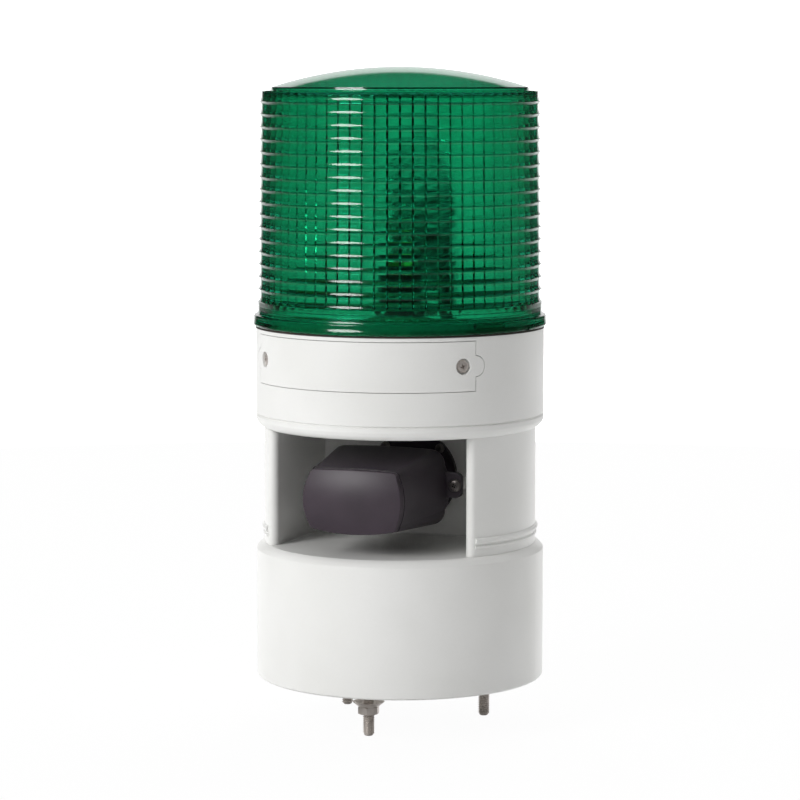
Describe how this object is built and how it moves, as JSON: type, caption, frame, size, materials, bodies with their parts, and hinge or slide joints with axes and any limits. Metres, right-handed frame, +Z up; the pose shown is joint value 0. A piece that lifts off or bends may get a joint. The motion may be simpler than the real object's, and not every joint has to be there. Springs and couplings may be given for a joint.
{
  "type": "warning light with horn",
  "caption": "Warning light with horn: ribbed green lens over a turning mirror lamp, a folded horn in an open square recess, and a round white base on mounting studs.",
  "frame": {"origin": "centre of the mounting face, which is the flat underside of the base plate", "axes": "+Z up along the lens axis; the horn recess and the access cover look along -Y; +X is to the right seen from the front"},
  "size_m": [0.1524, 0.1524, 0.342],
  "materials": {
    "housing_white": "satin",
    "lens_green": "glossy, clear tinted",
    "horn_dark": "satin",
    "plastic_black": "matte",
    "bracket_black": "satin",
    "rubber_black": "matte",
    "steel_zinc": "satin",
    "core_steel": "satin",
    "motor_steel": "satin",
    "winding_copper": "lacquered",
    "cap_brass": "satin",
    "magnet_ferrite": "matte",
    "diaphragm_film": "satin",
    "board_green": "satin",
    "terminal_grey": "matte",
    "dial_white": "matte",
    "deck_grey": "matte",
    "gear_nylon": "satin",
    "reflector_mirror": "polished",
    "rivet_aluminium": "satin",
    "bulb_clear": "clear"
  },
  "bodies": {
    "housing": {"base_cup": "housing_white", "base_plate": "housing_white", "base_plate_screws": "steel_zinc", "mounting_studs": "steel_zinc", "cup_washer": "steel_zinc", "stud_nut": "steel_zinc", "cable_grommet": "rubber_black", "board_spacers": "plastic_black", "power_board": "board_green", "board_screws": "steel_zinc", "transformer_core": "core_steel", "transformer_winding": "winding_copper", "terminal_block": "terminal_grey", "horn_housing": "housing_white", "tie_screws": "steel_zinc", "housing_screws": "steel_zinc", "horn_cup": "horn_dark", "horn_cap": "horn_dark", "horn_screws": "steel_zinc", "tone_pipe": "horn_dark", "diaphragm": "diaphragm_film", "driver_frame": "plastic_black", "voice_coil": "winding_copper", "top_plate": "core_steel", "driver_magnet": "magnet_ferrite", "driver_yoke": "core_steel", "driver_cover": "plastic_black", "driver_screws": "steel_zinc", "upper_housing": "housing_white", "access_cover": "housing_white", "access_cover_screws": "steel_zinc", "control_board": "board_green", "control_board_screws": "steel_zinc", "volume_control": "plastic_black", "tone_switch": "plastic_black", "lens_gasket": "rubber_black", "lamp_deck": "deck_grey", "deck_screws": "steel_zinc", "lamp_holder": "plastic_black", "bulb_cap": "cap_brass", "bulb_glass": "bulb_clear", "rotor_bush": "deck_grey", "retaining_ring": "steel_zinc", "drive_motor": "motor_steel", "motor_screws": "steel_zinc"},
    "lens_cap": {"lens": "lens_green"},
    "mirror_rotor": {"rotor_gear": "gear_nylon", "reflector_bracket": "bracket_black", "reflector": "reflector_mirror", "reflector_rivet": "rivet_aluminium"},
    "motor_rotor": {"motor_shaft": "steel_zinc", "motor_pinion": "cap_brass"},
    "volume_knob": {"volume_dial": "dial_white"},
    "tone_knob": {"tone_slider": "dial_white"}
  },
  "joints": [
    {"name": "lens_twist", "type": "hinge", "parent": "housing", "child": "lens_cap", "pos_m": [0, 0, 0.1836], "axis": [0, 0, 1], "range_deg": [0, 20]},
    {"name": "mirror_spin", "type": "hinge", "parent": "housing", "child": "mirror_rotor", "pos_m": [0, 0, 0.19], "axis": [0, 0, 1], "continuous": true},
    {"name": "motor_spin", "type": "hinge", "parent": "housing", "child": "motor_rotor", "pos_m": [-0.04229, -0.01539, 0.19], "axis": [0, 0, 1], "continuous": true},
    {"name": "volume_turn", "type": "hinge", "parent": "housing", "child": "volume_knob", "pos_m": [-0.01, -0.064, 0.1679], "axis": [0, 1, 0], "range_deg": [0, 270]},
    {"name": "tone_slide", "type": "slide", "parent": "housing", "child": "tone_knob", "axis": [1, 0, 0], "range_m": [0, 0.0036]}
  ],
  "couplings": [
    {"joint": "motor_spin", "follows": "mirror_spin", "ratio": -4}
  ]
}
